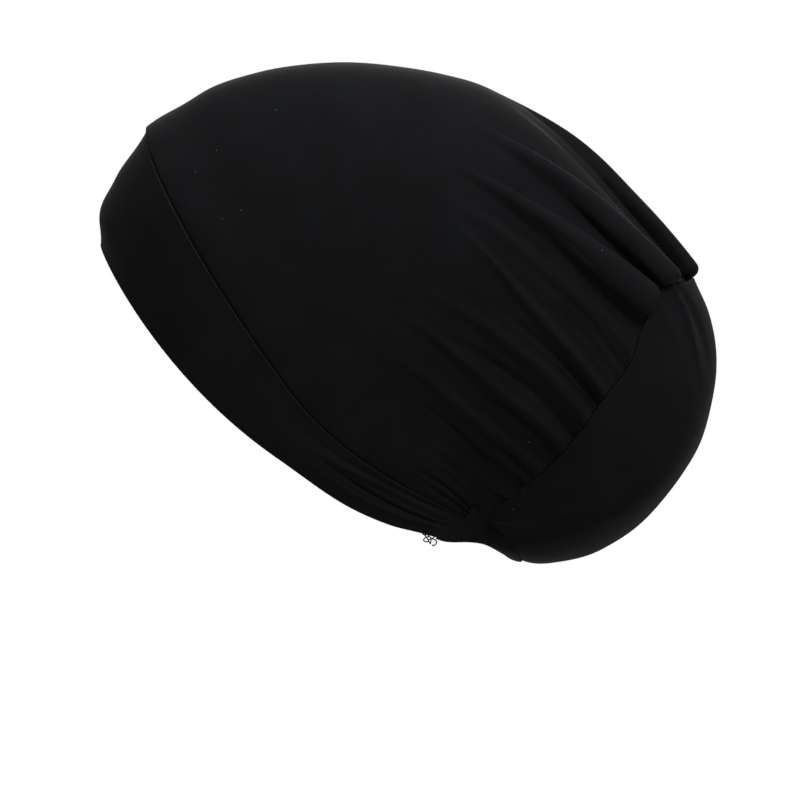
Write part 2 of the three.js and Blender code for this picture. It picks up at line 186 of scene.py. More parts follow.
def even_points(points, count):
    """Points at even steps of length along a line of points."""
    steps = np.linalg.norm(np.diff(points, axis=0), axis=1)
    lengths = np.concatenate([[0], np.cumsum(steps)])
    places = np.linspace(0, lengths[-1], count)
    return np.stack([np.interp(places, lengths, points[:, k]) for k in range(3)], -1)


def base_point(s):
    """Where the bow at section s ends, above the nape casing."""
    keys = [SECTION_NAMES.index(name) for name in BASE_POINTS]
    return np.array([np.interp(s, keys, [p[k] for p in BASE_POINTS.values()]) for k in range(3)])


def half_bow(s):
    """The left half of the bow of cloth at section s, from the crest down to its base."""
    row = section_values(s)
    base = base_point(s)
    crest = np.array([0, row["crest_y"], row["crest_z"]])
    side = np.array([row["side_x"], row["side_y"], row["side_z"]])
    lean = math.radians(row["lean"])
    up = np.array([0, -math.cos(lean), math.sin(lean)])
    above = np.linalg.norm((crest - side)[1:]) * row["rise"]
    below = np.linalg.norm((base - side)[1:]) * row["drop"]
    level = np.array([row["shoulder"] * row["side_x"], 0, 0])
    f = np.linspace(0, 1, ARC_POINTS)[:, None]
    g = 1 - f
    upper = g ** 3 * crest + 3 * f * g * g * (crest + level)
    upper = upper + 3 * f * f * g * (side + above * up) + f ** 3 * side
    lower = g * g * side + 2 * f * g * (side - below * up) + f * f * base
    return even_points(np.vstack([upper, lower[1:]]), BOW_POINTS)


form_sections = np.arange(RIM, NAPE_SEAM + SECTION_STEP / 2, SECTION_STEP)
form_points = np.array([half_bow(s) for s in form_sections])
form_across = np.gradient(form_points, axis=1)
form_across /= np.linalg.norm(form_across, axis=2, keepdims=True)
form_normals = np.cross(form_across, np.gradient(form_points, axis=0))
form_normals /= np.linalg.norm(form_normals, axis=2, keepdims=True)
form_along = np.cross(form_normals, form_across)


def smooth(x):
    """A smooth step from 0 to 1."""
    x = np.clip(x, 0, 1)
    return x * x * (3 - 2 * x)


def fade_in(x, start, width):
    """0 up to start, and 1 from a width further on."""
    return smooth((x - start) / width)


def bump(x):
    """A rounded bump, 1 high at x = 0 and gone at -1 and 1."""
    return 0.5 + 0.5 * np.cos(np.pi * np.clip(x, -1, 1))


def peak(x, at, half):
    """A rounded bump, 1 high at a place and gone at half its width to each side."""
    return bump((x - at) / half)


def round_end(distance, radius):
    """How far a rounded edge has risen at a distance from its end, from 0 to 1."""
    x = 1 - np.clip(distance / radius, 0, 1)
    return np.sqrt(1 - x * x)


def seam_pull(s, t):
    """How many sections the cloth near the back seam is drawn towards the front."""
    near = smooth(1 - np.abs(s - BACK_SEAM) / SEAM_PULL_REACH)
    pulls = [dict(zip(SEAM_PULL_COLUMNS, row)) for row in SEAM_PULLS]
    return near * sum(row["pull"] * peak(np.abs(t), row["at"], row["half"]) for row in pulls)


def on_form(field, s, t):
    """A field of the form at section s and share t of the bow: 0 on the crest, 1 at its left
    end and -1 at its right end."""
    s = s - seam_pull(s, t)
    row = np.clip(s / SECTION_STEP, 0, len(field) - 1.001)
    column = np.clip(np.abs(t) * (BOW_POINTS - 1), 0, BOW_POINTS - 1.001)
    i, j = row.astype(int), column.astype(int)
    a, b = (row - i)[..., None], (column - j)[..., None]
    near = field[i, j] * (1 - b) + field[i, j + 1] * b
    far = field[i + 1, j] * (1 - b) + field[i + 1, j + 1] * b
    value = near * (1 - a) + far * a
    value[..., 0] *= np.where(t < 0, -1, 1)
    return value


# Folds run back along the crown, at a share t of the bow that changes with the section s. A
# half width is a share of the bow, a height is in millimetres and a negative one is a valley.
FOLD_COLUMNS = ("from_s", "from_t", "bend", "to_t", "half", "height")
PLEATS = {
    "middle_pleat": (7.0, 0, 0, 0, 0.042, 8.1),
    "upper_pleat": (6.4, 0.22, 0.048, 0.24, 0.036, 7.0),
    "lower_pleat": (6.0, 0.32, 0.06, 0.336, 0.031, 6.4),
}
GATHERS = {
    "shelf_by_middle": (7.2, 0.09, 0.01, 0.09, 0.075, -3.8),
    "valley_between_pleats": (6.6, 0.27, 0.055, 0.288, 0.022, -0.5),
    "undercut": (7.2, 0.37, 0.045, 0.378, 0.014, -1.2),
    "valley_under_pleats": (6.0, 0.37, 0.062, 0.4, 0.035, -1.2),
    "soft_ridge": (5.8, 0.4, 0.035, 0.46, 0.035, 1.4),
    "gather_1": (5.8, 0.43, 0.047, 0.57, 0.026, 3.0),
    "valley_1": (6.8, 0.56, 0.02, 0.592, 0.014, -1.8),
    "gather_2": (5.0, 0.56, 0.022, 0.648, 0.026, 2.3),
    "valley_2": (6.0, 0.655, 0.008, 0.69, 0.015, -2.3),
    "gather_3": (4.3, 0.578, 0.05, 0.73, 0.022, 2.7),
    "valley_3": (7.0, 0.733, 0.004, 0.752, 0.014, -1.8),
    "gather_4": (3.9, 0.646, 0.06, 0.805, 0.028, 2.2),
    "valley_4": (5.8, 0.778, 0.012, 0.838, 0.012, -1.8),
    "valley_5": (4.2, 0.73, 0.045, 0.872, 0.014, -2.2),
    "gather_5": (4.0, 0.812, 0.06, 0.9, 0.024, 1.8),
    "valley_6": (4.4, 0.87, 0.016, 0.932, 0.013, -1.8),
    "gather_6": (3.8, 0.85, 0.055, 0.962, 0.026, 1.8),
}
FOLD_START = 0.45
FOLD_ROUNDNESS = 0.8
GATHER_END = 2.2

# These two run the other way, across the sections, to the crown's lower end by the band.
END_FOLD_COLUMNS = ("from_t", "from_s", "bend", "to_s", "half", "height")
LOW_GATHERS = {
    "low_gather": (0.84, 2.9, 0, 4.7, 1.9, -1.5),
    "lowest_gather": (0.87, 2.75, 0.1, 3.3, 1.6, -1.3),
}
END_FOLD_WIDTH = 30

# Fine puckers close to the back seam, drawn at random within these limits.
PUCKERS = 42
PUCKER_SEEDS = {"left": 11, "right": 12}
PUCKER_SHARES = {"first": 0.4, "span": 0.57}
PUCKER_SECTIONS = (0.8, 4.2)
PUCKER_SLANT = (0, 0.01)
PUCKER_HALVES = (0.006, 0.012)
PUCKER_HEIGHTS = (0.3, 0.7)


def fold_rows(rows):
    """A table of folds as named values."""
    return [dict(zip(FOLD_COLUMNS, row)) for row in rows]


def bent_line(start, end, bend, q):
    """From start to end as q goes from 0 to 1, with a bend between them."""
    return start + (end - start) * q + bend * 4 * q * (1 - q)


def fold_centre(fold, s):
    """How far along a fold section s is, from 0 to 1, and the share at which the fold runs."""
    q = np.clip((s - fold["from_s"]) / (BACK_SEAM - fold["from_s"]), 0, 1)
    return q, bent_line(fold["from_t"], fold["to_t"], fold["bend"], q)


def soft_folds(folds, s, t):
    """Height of rounded gathers and valleys on a panel, which widen towards the back seam."""
    height = np.zeros_like(s)
    for fold in folds:
        q, centre = fold_centre(fold, s)
        across = (t - centre) / (fold["half"] * (FOLD_START + (1 - FOLD_START) * q))
        height += fold["height"] * bump(across) ** FOLD_ROUNDNESS * np.sin(0.5 * np.pi * q)
    return height


def end_folds(rows, places, sections):
    """Height of wrinkles that run along a panel, across its sections, to its ends at the nape."""
    side = np.abs(places["t"])
    whole = places["from_front"] + places["to_back"]
    height = np.zeros_like(side)
    for row in rows:
        fold = dict(zip(END_FOLD_COLUMNS, row))
        q = np.clip((side - fold["from_t"]) / (1 - fold["from_t"]), 0, 1)
        centre = bent_line(fold["from_s"], fold["to_s"], fold["bend"], q)
        narrowed = fold["half"] * np.minimum(1, whole / END_FOLD_WIDTH)
        across = (places["s"] - centre) * whole / sections / narrowed
        height += fold["height"] * bump(across) * np.sin(0.5 * np.pi * smooth(2 * q))
    return height


def fine_puckers(seed):
    """Short small gathers close to the back seam, at places drawn from a fixed seed."""
    draw = np.random.default_rng(seed)
    rows = []
    for k in range(PUCKERS):
        spread = (k + draw.uniform(0.1, 0.9)) / PUCKERS
        to_t = PUCKER_SHARES["first"] + PUCKER_SHARES["span"] * spread
        from_s = BACK_SEAM - draw.uniform(*PUCKER_SECTIONS)
        from_t = to_t - draw.uniform(*PUCKER_SLANT)
        half = draw.uniform(*PUCKER_HALVES)
        height = draw.choice([-1, 1]) * draw.uniform(*PUCKER_HEIGHTS)
        rows.append((from_s, from_t, 0, to_t, half, height))
    return fold_rows(rows)


# A pleat starts as a narrow soft ridge and turns into a tube, first on its upper side and then
# below, where its edge is crisper. Its round tip hangs over the back seam.
PLEAT_START = 0.3
PLEAT_WIDENING = 0.8
PLEAT_GROWTH = 1.25
PLEAT_ROUNDNESS = 0.9
UPPER_START = 0.4
UPPER_GROWTH = 2
LOWER_FADE_IN = (0.45, 0.35)
LOWER_SOFT_WIDTH = 1.5
UPPER_EDGE = 2.6
LOWER_EDGE = 4.5
TUBE_POWER = 0.45
PLEAT_BULGE = 2.1
PLEAT_END = 5.0
PLEAT_OVERHANG = 2.4
OVERHANG_REACH = 7
TIP_WIDTH = 0.62
TIP_LENGTH = 6.0
MIDDLE_END = 0.94
MIDDLE_END_FROM = 9.1


def pleat_offsets(pleat, s, t, to_back):
    """Height of a tubular pleat, which narrows to a round tip at the back seam, and how far its
    sides bulge out over their own foot."""
    q, centre = fold_centre(pleat, s)
    tip = TIP_WIDTH + (1 - TIP_WIDTH) * round_end(to_back, TIP_LENGTH)
    width = PLEAT_START + (1 - PLEAT_START) * q ** PLEAT_WIDENING
    w = (t - centre) / (pleat["half"] * width * tip)
    below = fade_in(q, *LOWER_FADE_IN)
    steepness = np.where(w < 0, smooth(UPPER_START + UPPER_GROWTH * q), below)
    soft_width = np.where(w < 0, 1, LOWER_SOFT_WIDTH - (LOWER_SOFT_WIDTH - 1) * below)
    soft = bump(w / soft_width) ** PLEAT_ROUNDNESS
    steep = np.clip(1 - np.abs(w) ** np.where(w < 0, UPPER_EDGE, LOWER_EDGE), 0, 1) ** TUBE_POWER
    shape = soft + (steep - soft) * steepness
    grown = np.sin(0.5 * np.pi * smooth(PLEAT_GROWTH * q))
    bulge = 4 * shape * (1 - shape) * steepness * np.sign(w) * (np.abs(w) < 1)
    return pleat["height"] * shape * grown, PLEAT_BULGE * bulge * grown


# The mesh: lines of points that follow the folds near the back seam, close together at both
# seams, and even between them. Lengths are in millimetres.
FOLLOW_FROM = 4
FOLLOW_FULL = 7
PLEAT_COLUMNS = 14
PLAIN_COLUMN = 0.0062
GUIDE_START = 0.6
GUIDE_GATHERS = ("gather_1", "gather_2", "gather_3", "gather_4", "valley_5")
GUIDES_IN_PLEATS = (0, 2, 3, 5, 6)
CROWN_FRONT_LINES = (0.25, 1.8, 12)
CROWN_BACK_LINES = (0.25, 1.25, 60)
CROWN_MIDDLE_LINES = 64
CROWN_FULL_WIDTH = 118
STATIONS = 301


def guide_lines(s):
    """Shares at section s of the lines that the crown's columns of points keep to: the edges
    and centre of each pleat, and the crests of the main gathers."""
    lines = [np.zeros_like(s)]
    for pleat in fold_rows(PLEATS.values()):
        q, centre = fold_centre(pleat, s)
        half = pleat["half"] * (GUIDE_START + (1 - GUIDE_START) * q)
        if pleat["to_t"] > 0:
            lines += [centre - half, centre]
        lines.append(centre + half)
    for fold in fold_rows(GATHERS[name] for name in GUIDE_GATHERS):
        lines.append(fold_centre(fold, s)[1])
    lines.append(np.ones_like(s))
    return np.array(lines)


def crown_columns():
    """For each column of the crown's left half: which guide line it follows and how far it
    lies towards the next one."""
    at_seam = guide_lines(np.array(float(BACK_SEAM)))
    columns = []
    for k in range(len(at_seam) - 1):
        plain = max(2, round((at_seam[k + 1] - at_seam[k]) / PLAIN_COLUMN))
        count = PLEAT_COLUMNS if k in GUIDES_IN_PLEATS else plain
        columns += [(k, n / count) for n in range(count)]
    return columns + [(len(at_seam) - 2, 1.0)]


def crown_shares(s):
    """Share of every crown column at sections s, an array with one row for each line across."""
    half = crown_columns()
    if len(half) % 2 == 0:
        half = half[:-2] + half[-1:]
    mirrored = [(k, f, -1) for k, f in half[:0:-1]] + [(k, f, 1) for k, f in half]
    guide, fraction, side = (np.array(column) for column in zip(*mirrored))
    s = np.broadcast_to(s, (s.shape[0], len(mirrored)))
    lines = guide_lines(s)
    columns = np.arange(len(mirrored))
    low = lines[guide, :, columns].T
    high = lines[guide + 1, :, columns].T
    followed = low + (high - low) * fraction
    middle = (len(mirrored) - 1) / 2
    even = np.abs(columns - middle) / middle
    follow = fade_in(s, FOLLOW_FROM, FOLLOW_FULL - FOLLOW_FROM)
    return side * (even + (followed - even) * follow)


def growing_steps(first, last, count):
    """Distances from a seam that start close together and grow apart."""
    steps = first * (last / first) ** (np.arange(count) / (count - 1))
    return np.concatenate([[0], np.cumsum(steps)])


def panel_places(from_s, to_s, shares, front, back, middle, full_width):
    """Where the points of a panel lie between two seams: lines at set distances from each seam
    and even ones between, drawn together where the panel is narrower than its full width."""
    stations = np.linspace(from_s, to_s, STATIONS)
    station_shares = shares(stations[:, None])
    station_sections = np.broadcast_to(stations[:, None], station_shares.shape)
    points = on_form(form_points, station_sections, station_shares)
    steps = np.linalg.norm(np.diff(points, axis=0), axis=2)
    lengths = np.vstack([np.zeros(steps.shape[1]), np.cumsum(steps, axis=0)])
    whole = lengths[-1]
    fullness = np.minimum(1, whole / full_width)
    near = growing_steps(*front)[:, None] * fullness
    far = whole - growing_steps(*back)[::-1, None] * fullness
    f = (np.arange(1, middle + 1) / (middle + 1))[:, None]
    distance = np.vstack([near, near[-1] + (far[0] - near[-1]) * f, far])
    s = np.stack([np.interp(distance[:, k], lengths[:, k], stations)
                  for k in range(len(whole))], 1)
    return {
        "s": s,
        "t": shares(s),
        "from_front": distance,
        "to_back": whole - distance,
        "fullness": np.broadcast_to(fullness, s.shape),
    }


def place_points(places, height, across=0, along=0):
    """Points that stand off the form by a height, and that lean across and along it."""
    s, t = places["s"], places["t"]
    across = np.reshape(across, np.shape(across) + (1,))
    along = np.reshape(along, np.shape(along) + (1,))
    points = on_form(form_points, s, t) + on_form(form_normals, s, t) * height[..., None]
    sideways = on_form(form_across, s, np.abs(t)) * across
    sideways[..., 0] *= np.where(t < 0, -1, 1)
    return points + sideways + on_form(form_along, s, t) * along


def surface_normals(points):
    """Outward directions of a grid of points."""
    normals = np.cross(np.gradient(points, axis=1), np.gradient(points, axis=0))
    return normals / np.maximum(np.linalg.norm(normals, axis=2, keepdims=True), 1e-9)


def grid_border(rows, columns, offset):
    """Indices of a grid's border points, once round."""
    index = offset + np.arange(rows * columns).reshape(rows, columns)
    return np.concatenate([index[0, :-1], index[:-1, -1], index[-1, :0:-1], index[:0:-1, 0]])


def cloth_lengths(outer):
    """For each point of a grid, how far it lies across the cloth from its middle line and along
    it from its first line, in millimetres."""
    across = np.cumsum(np.linalg.norm(np.diff(outer, axis=1, prepend=outer[:, :1]), axis=2), axis=1)
    centre = outer.shape[1] // 2
    across -= across[:, centre:centre + 1]
    along = np.cumsum(np.linalg.norm(np.diff(outer, axis=0, prepend=outer[:1]), axis=2), axis=0)
    return np.stack([across, along], -1)


def cloth_piece(name, outer, inner, material):
    """A closed piece of cloth between a grid of outer points and one of inner points, which
    has every second row and column. Its UV map is in millimetres across and along the cloth."""
    rows, columns = outer.shape[:2]
    faces = []
    for grid, offset in ((outer, 0), (inner, rows * columns)):
        grid_rows, grid_columns = grid.shape[:2]
        index = offset + np.arange(grid_rows * grid_columns).reshape(grid_rows, grid_columns)
        corners = [index[:-1, :-1], index[:-1, 1:], index[1:, 1:], index[1:, :-1]]
        if grid is inner:
            corners.reverse()
        faces += np.stack([c.ravel() for c in corners], 1).tolist()
    border = grid_border(rows, columns, 0)
    under = grid_border(*inner.shape[:2], rows * columns)
    for k, here in enumerate(under):
        following = under[(k + 1) % len(under)]
        first, middle = border[2 * k], border[2 * k + 1]
        last = border[(2 * k + 2) % len(border)]
        faces += [(middle, first, here), (middle, here, following), (last, middle, following)]
    mesh = bpy.data.meshes.new(name)
    points = np.vstack([outer.reshape(-1, 3), inner.reshape(-1, 3)]) * MM
    mesh.from_pydata(points.tolist(), [], faces)
    lengths = cloth_lengths(outer)
    lengths = np.vstack([lengths.reshape(-1, 2), lengths[::2, ::2].reshape(-1, 2)])
    corner_points = np.empty(len(mesh.loops), dtype=np.int32)
    mesh.loops.foreach_get("vertex_index", corner_points)
    mesh.uv_layers.new(name="cloth_mm").data.foreach_set("uv", lengths[corner_points].ravel())
    mesh.shade_smooth()
    mesh.set_sharp_from_angle(angle=math.radians(60))
    mesh.materials.append(material)
    mesh.validate()
    made = bpy.data.objects.new(name, mesh)
    bpy.context.scene.collection.objects.link(made)
    return made


def cloth_inside(outer, thickness):
    """The inner points of one layer of cloth."""
    return (outer - thickness * surface_normals(outer))[::2, ::2]


def add_node(tree, kind, settings=(), inputs=()):
    """A node with its settings, and its inputs as values or as links from other sockets."""
    made = tree.nodes.new(kind)
    for key, value in dict(settings).items():
        setattr(made, key, value)
    for key, value in dict(inputs).items():
        if isinstance(value, bpy.types.NodeSocket):
            tree.links.new(value, made.inputs[key])
        else:
            made.inputs[key].default_value = value
    return made


# Knitted viscose jersey, dyed black and made up with its smooth side out: dull and dark seen
# square on, with a soft grey bloom from its fibre ends at grazing angles and a few specks of
# lint. Its wales are 0.7 mm apart, drawn 1.1 mm apart, because finer ones are lost in the picture.
WALE = 1.1
COURSE = 0.9
BLACK_DEEP = "#070708"
BLACK_WORN = "#0E0F10"
BLOOM = "#C8CACC"
LINT = "#54544F"

# A wave texture at scale 1 repeats every WAVE_PERIOD. Noise and specks are counted per metre:
# the blotches are 22 mm wide, the fuzz of the fibres is 0.7 mm wide, and specks are 12 mm apart.
WAVE_PERIOD = 2 * math.pi / 20
BLOTCHES = 45.0
FUZZ = 1500.0
SPECKS = 85.0
LINT_SPECK = {"From Min": 0.012, "From Max": 0.03, "To Min": 0.55, "To Max": 0.0}
RELIEF_DEPTH = 0.09
COURSE_RELIEF = 0.15
FUZZ_RELIEF = 2.4
LEAST_WEAR = -0.22
KNIT_WEAR = 0.08
FUZZ_WEAR = 0.5
BLOTCH_WEAR = 0.8


def black_jersey_material(name):
    """Black jersey whose knit follows the UV map in millimetres."""
    material = bpy.data.materials.new(name)
    material.use_nodes = True
    tree = material.node_tree
    skin = tree.nodes["Principled BSDF"]
    place = add_node(tree, "ShaderNodeTexCoord").outputs["Object"]
    cloth = add_node(tree, "ShaderNodeUVMap", {"uv_map": "cloth_mm"}).outputs["UV"]
    blotches = add_node(tree, "ShaderNodeTexNoise", inputs={
        "Vector": place, "Scale": BLOTCHES, "Detail": 4.0, "Roughness": 0.6}).outputs["Fac"]
    fuzz = add_node(tree, "ShaderNodeTexNoise", inputs={
        "Vector": place, "Scale": FUZZ, "Detail": 2.0}).outputs["Fac"]
    wales = add_node(tree, "ShaderNodeTexWave", {"bands_direction": "X"}, {
        "Vector": cloth, "Scale": WAVE_PERIOD / WALE, "Distortion": 0.5}).outputs["Fac"]
    courses = add_node(tree, "ShaderNodeTexWave", {"bands_direction": "Y"}, {
        "Vector": cloth, "Scale": WAVE_PERIOD / COURSE, "Distortion": 0.8}).outputs["Fac"]
    scaled_add = {"operation": "MULTIPLY_ADD"}
    knit = add_node(tree, "ShaderNodeMath", scaled_add, {
        0: courses, 1: COURSE_RELIEF, 2: wales}).outputs[0]
    rough_knit = add_node(tree, "ShaderNodeMath", scaled_add, {
        0: fuzz, 1: FUZZ_RELIEF, 2: knit}).outputs[0]
    relief = add_node(tree, "ShaderNodeBump", inputs={
        "Height": rough_knit, "Strength": 0.35, "Distance": RELIEF_DEPTH * MM}).outputs["Normal"]
    wear = LEAST_WEAR
    for pattern, share in ((knit, KNIT_WEAR), (fuzz, FUZZ_WEAR), (blotches, BLOTCH_WEAR)):
        wear = add_node(tree, "ShaderNodeMath", scaled_add, {
            0: pattern, 1: share, 2: wear}).outputs[0]
    colour = add_node(tree, "ShaderNodeMix", {"data_type": "RGBA"}, {
        "Factor": wear, 6: (*linear(BLACK_DEEP), 1), 7: (*linear(BLACK_WORN), 1)}).outputs[2]
    near_speck = add_node(tree, "ShaderNodeTexVoronoi", inputs={
        "Vector": place, "Scale": SPECKS}).outputs["Distance"]
    speck = add_node(tree, "ShaderNodeMapRange", inputs={
        "Value": near_speck, **LINT_SPECK}).outputs[0]
    dusty = add_node(tree, "ShaderNodeMix", {"data_type": "RGBA"}, {
        "Factor": speck, 6: colour, 7: (*linear(LINT), 1)}).outputs[2]
    tree.links.new(dusty, skin.inputs["Base Color"])
    tree.links.new(relief, skin.inputs["Normal"])
    skin.inputs["Roughness"].default_value = 0.9
    skin.inputs["Specular IOR Level"].default_value = 0.02
    skin.inputs["Sheen Weight"].default_value = 0.018
    skin.inputs["Sheen Roughness"].default_value = 0.28
    skin.inputs["Sheen Tint"].default_value = (*linear(BLOOM), 1)
    return material


black_jersey = black_jersey_material("black_viscose_jersey")

# Edges and surface of the crown, in millimetres. The lip rises along the band seam on top, and
# turns into a slight hollow on the sides. A shallow hollow lies behind it. A pair for the sides
# is the share of the bow where a change begins, and the share it takes.
SEAM_DEPTH = 1.2
SEAM_SHALLOWER = 0.6
SEAM_SIDES = (0.7, 0.3)
LIP_RADIUS = 1.6
LIP_HEIGHT = 1.1
LIP_FADE = 4.0
LIP_TURN = 1.5
LIP_SIDES = (0.1, 0.2)
HOLLOW_DEPTH = 1.4
HOLLOW_AT = 18.0
HOLLOW_SIDES = (0.15, 0.2)
SLACK = 0.3
CLOTH_WALL = 0.9


def seam_depth(t):
    """How deep the edges of two panels go down into the seam between them."""
    return SEAM_DEPTH * (1 - SEAM_SHALLOWER * fade_in(np.abs(t), *SEAM_SIDES))


def slack(points):
    """Slight waves of cloth that isn't quite tight, about 80, 45 and 25 mm long."""
    x, y, z = points[..., 0], points[..., 1], points[..., 2]
    waves = np.sin(0.062 * y + 0.047 * z + 0.4) * np.sin(0.051 * z - 0.03 * y + 0.02 * x + 1.1)
    waves += 0.5 * np.sin(0.117 * y + 0.071 * z + 2.0 + 1.3 * np.sin(0.04 * z + 0.03 * x))
    waves += 0.2 * np.sin(0.23 * y + 0.11 * z + 0.7 + 1.7 * np.sin(0.06 * z - 0.05 * y))
    return SLACK * waves


crown_places = panel_places(
    BAND_SEAM, BACK_SEAM, crown_shares, front=CROWN_FRONT_LINES, back=CROWN_BACK_LINES,
    middle=CROWN_MIDDLE_LINES, full_width=CROWN_FULL_WIDTH)
crown_s, crown_t = crown_places["s"], crown_places["t"]
crown_front, crown_back = crown_places["from_front"], crown_places["to_back"]
crown_fullness = crown_places["fullness"]
crown_side = np.abs(crown_t)
gather_height = soft_folds(fold_rows(GATHERS.values()), crown_s, crown_side)
left_puckers = soft_folds(fine_puckers(PUCKER_SEEDS["left"]), crown_s, crown_side)
right_puckers = soft_folds(fine_puckers(PUCKER_SEEDS["right"]), crown_s, crown_side)
gather_height += np.where(crown_t > 0, left_puckers, right_puckers)
gather_height += end_folds(LOW_GATHERS.values(), crown_places, BACK_SEAM - BAND_SEAM)
gather_height *= round_end(crown_back, GATHER_END * crown_fullness)
pleat_height = np.zeros_like(crown_s)
pleat_lean = np.zeros_like(crown_s)
for one_pleat in fold_rows(PLEATS.values()):
    one_height, one_lean = pleat_offsets(one_pleat, crown_s, crown_side, crown_back)
    if one_pleat["to_t"] == 0:
        near_seam = fade_in(crown_s, MIDDLE_END_FROM, BACK_SEAM - MIDDLE_END_FROM)
        one_height = one_height * (1 - (1 - MIDDLE_END) * near_seam)
    pleat_height += one_height
    pleat_lean += one_lean
pleat_end = round_end(crown_back, PLEAT_END)
pleat_height *= pleat_end
pleat_lean *= pleat_end
tallest = max(pleat["height"] for pleat in fold_rows(PLEATS.values()))
near_end = np.exp(-(crown_back / OVERHANG_REACH) ** 2)
overhang = PLEAT_OVERHANG * pleat_height / tallest * near_end
lip = LIP_HEIGHT * np.exp(-crown_front / LIP_FADE) * crown_fullness
lip *= 1 - LIP_TURN * fade_in(crown_side, *LIP_SIDES)
hollow = HOLLOW_DEPTH * peak(crown_front, HOLLOW_AT, HOLLOW_AT)
hollow *= 1 - fade_in(crown_side, *HOLLOW_SIDES)
front_rise = round_end(crown_front, LIP_RADIUS * crown_fullness)
back_rise = round_end(crown_back, SEAM_DEPTH * crown_fullness)
seam_dip = seam_depth(crown_t) * (2 - front_rise - back_rise)
crown_height = gather_height + pleat_height + lip * front_rise - hollow - seam_dip
crown_height += slack(on_form(form_points, crown_s, crown_t)) * front_rise * back_rise
crown_outer = place_points(crown_places, crown_height, pleat_lean, overhang)
crown_inner = cloth_inside(crown_outer, CLOTH_WALL)
crown_panel = cloth_piece("crown_cloth", crown_outer, crown_inner, black_jersey)
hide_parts("crown_panel")
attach(crown_panel, "root")


# Front band: a strip of the same jersey folded double along the front opening. Both of its raw
# edges are sewn to the crown, so its rear edge stands up in a thin ridge. It swells slightly on
# the middle line, and wrinkles run back along it to the nape.
BAND_COLUMNS = 361
BAND_FRONT_LINES = (0.08, 1.2, 10)
BAND_BACK_LINES = (0.15, 1.2, 10)
BAND_MIDDLE_LINES = 24
BAND_FULL_WIDTH = 40
BAND_WALL = 2.1
BAND_RIDGE = 0.75
RIDGE_RADIUS = 0.9
RIDGE_FADE = 1.6
RIDGE_ON_TOP = 0.3
RIDGE_SIDES = (0.08, 0.2)
RIM_REACH = 1.8
RIM_FADE = 8
RIM_EXTRA = (0.82, 0.16)
RIM_ENDS = (0.9, 0.1)
RIM_FROM_SEAM = 6
SWELL_HEIGHT = 2.0
SWELL_SECTIONS = (0.6, 0.6)
DIP_DEPTH = 1.2
DIP_SECTIONS = (1.75, 0.5)
SWELL_HALF = 0.3
BAND_FOLDS = {
    "crease": (0.7, 1.3, 0.06, 0.95, 1.7, -1.5),
    "ridge_over_crease": (0.68, 1.1, 0.4, 1.35, 2.2, 1.1),
    "ridge_under_crease": (0.7, 0.8, 0.04, 0.7, 2.6, 0.8),
    "upper_wrinkle": (0.62, 1.45, 0.1, 1.8, 1.8, -0.5),
}
WRINKLE_FROM_RIM = 4
WRINKLE_FROM_SEAM = 1.5
WRINKLE_LOSS = 0.85
WRINKLE_ENDS = (0.94, 0.055)
UNDER_WRINKLES = 0.8
UNDER_ROUND = 0.96


def even_shares(count):
    """Shares for a panel whose columns are even across the bow at every section."""
    line = np.linspace(-1, 1, count)
    return lambda s: np.broadcast_to(line, (s.shape[0], count))


band_places = panel_places(
    RIM, BAND_SEAM, even_shares(BAND_COLUMNS), front=BAND_FRONT_LINES, back=BAND_BACK_LINES,
    middle=BAND_MIDDLE_LINES, full_width=BAND_FULL_WIDTH)
band_s, band_t = band_places["s"], band_places["t"]
band_front, band_back = band_places["from_front"], band_places["to_back"]
band_side = np.abs(band_t)
band_round = BAND_WALL / 2 * (1 - round_end(band_front, BAND_WALL / 2))
band_rise = round_end(band_back, RIDGE_RADIUS * band_places["fullness"])
band_ridge = BAND_RIDGE * np.exp(-band_back / RIDGE_FADE) * band_rise
band_ridge *= RIDGE_ON_TOP + (1 - RIDGE_ON_TOP) * fade_in(band_side, *RIDGE_SIDES)
band_dip = seam_depth(band_t) * (1 - band_rise)
band_wrinkles = end_folds(BAND_FOLDS.values(), band_places, BAND_SEAM - RIM)
band_wrinkles *= smooth(band_front / WRINKLE_FROM_RIM)
band_wrinkles *= smooth(band_back / WRINKLE_FROM_SEAM)
band_wrinkles *= 1 - WRINKLE_LOSS * fade_in(band_side, *WRINKLE_ENDS)
band_swell = SWELL_HEIGHT * peak(band_s, *SWELL_SECTIONS) - DIP_DEPTH * peak(band_s, *DIP_SECTIONS)
band_swell *= bump(band_side / SWELL_HALF)
band_height = band_wrinkles + band_swell + band_ridge - band_dip - band_round
band_reach = -RIM_REACH * np.exp(-band_front / RIM_FADE)
band_reach *= (1 + peak(band_side, *RIM_EXTRA)) * (1 - fade_in(band_side, *RIM_ENDS))
band_reach *= smooth(band_back / RIM_FROM_SEAM)
band_outer = place_points(band_places, band_height, along=band_reach)
band_under = band_wrinkles * UNDER_WRINKLES + band_swell - BAND_WALL + band_round * UNDER_ROUND
band_inner = place_points(band_places, band_under, along=band_reach)
front_band = cloth_piece("front_band_cloth", band_outer, band_inner[::2, ::2], black_jersey)
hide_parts("front_band")
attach(front_band, "root")


